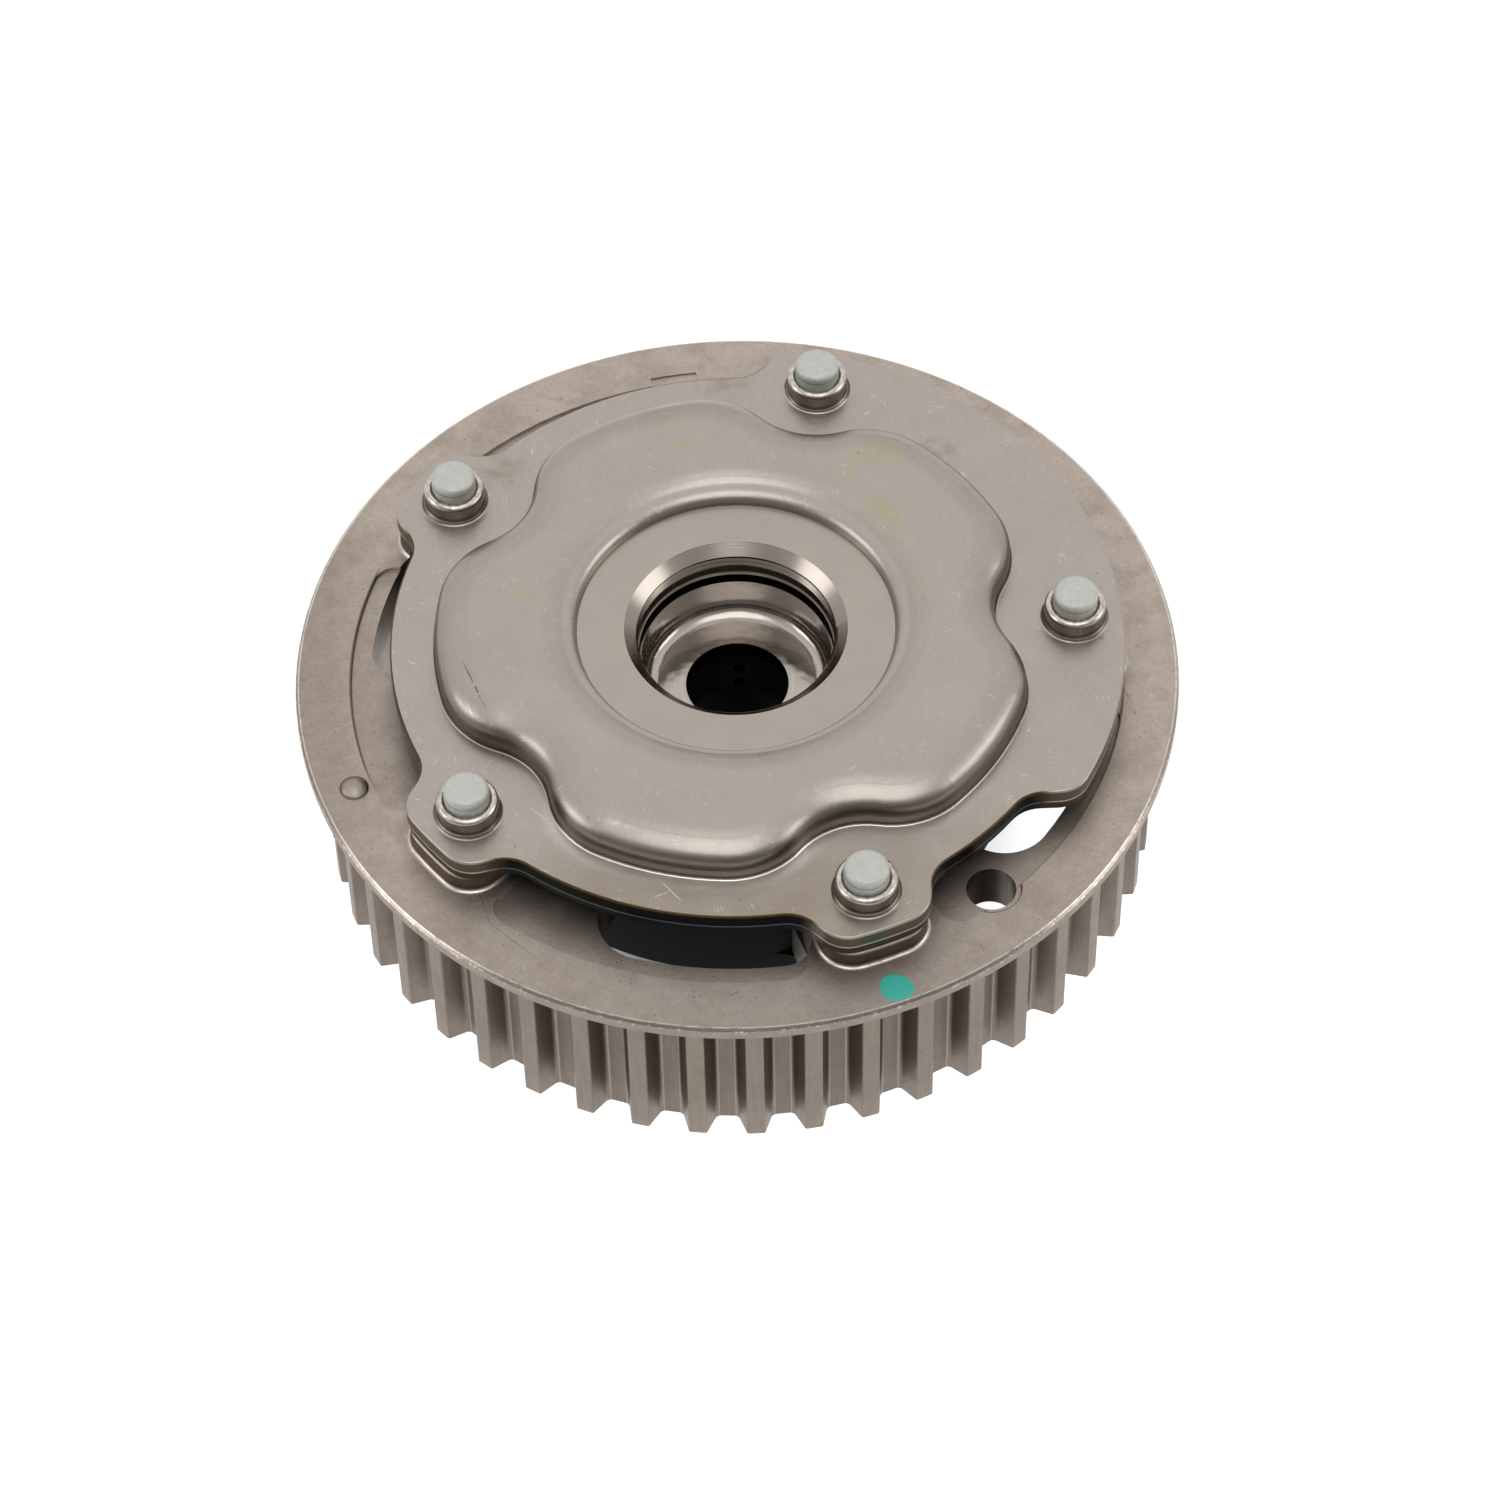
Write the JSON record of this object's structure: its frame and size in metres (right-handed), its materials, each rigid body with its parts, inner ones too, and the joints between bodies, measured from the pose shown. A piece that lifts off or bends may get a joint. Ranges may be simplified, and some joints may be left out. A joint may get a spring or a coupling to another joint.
{
  "type": "camshaft sprocket",
  "caption": "Toothed belt camshaft sprocket with a vane type timing adjuster: sintered toothed wheel, domed steel cover, clamp screws and an inner rotor that swings on the camshaft.",
  "frame": {"origin": "on the camshaft axis, in the plane of the toothed rim's rear face", "axes": "+Z along the camshaft axis towards the domed front cover, +X through one of the five clamp screws"},
  "size_m": [0.1214, 0.1214, 0.0407],
  "materials": {
    "sintered_steel": "sintered, warm grey, fine pits",
    "pressed_steel": "rolled and pressed, satin",
    "tempered_steel": "ground, heat tinted edge",
    "turned_steel": "fine turned",
    "black_steel": "steam treated, black",
    "seal_rubber": "moulded",
    "rear_cover_steel": "ground",
    "hardened_steel": "ground and polished",
    "rotor_steel": "fine turned, polished bowl",
    "spring_steel": "tempered strip",
    "zinc_flake_steel": "zinc flake coat, matt pale grey"
  },
  "bodies": {
    "wheel": {"drive_pulley": "sintered_steel", "dome_cover": "pressed_steel", "front_seal_plate": "tempered_steel", "centre_ring": "turned_steel", "stator_ring": "black_steel", "front_seal_ring": "seal_rubber", "rear_seal_ring": "seal_rubber", "rear_cover": "rear_cover_steel", "locking_bush": "hardened_steel", "spring_anchor_pin": "hardened_steel", "clamp_screw_1": "zinc_flake_steel", "clamp_screw_2": "zinc_flake_steel", "clamp_screw_3": "zinc_flake_steel", "clamp_screw_4": "zinc_flake_steel", "clamp_screw_5": "zinc_flake_steel"},
    "rotor": {"rotor": "rotor_steel", "bias_spring": "spring_steel", "lock_pin_spring": "spring_steel", "vane_1": "hardened_steel", "vane_2": "hardened_steel", "vane_3": "hardened_steel", "vane_4": "hardened_steel", "vane_5": "hardened_steel", "vane_spring_1": "spring_steel", "vane_spring_2": "spring_steel", "vane_spring_3": "spring_steel", "vane_spring_4": "spring_steel", "vane_spring_5": "spring_steel"},
    "lock_pin": {"lock_pin": "hardened_steel"}
  },
  "joints": [
    {"name": "rotor_swing", "type": "hinge", "parent": "wheel", "child": "rotor", "pos_m": [0, 0, 0.02], "axis": [0, 0, 1], "range_deg": [0, 30], "stiffness_Nm_per_rad": 0.2, "springref_deg": -28.65, "deforming": ["bias_spring"]},
    {"name": "lock_pin_travel", "type": "slide", "parent": "rotor", "child": "lock_pin", "axis": [0, 0, 1], "range_m": [0, 0.001], "stiffness_N_per_m": 500, "springref_m": -0.004, "deforming": ["lock_pin_spring"]}
  ]
}
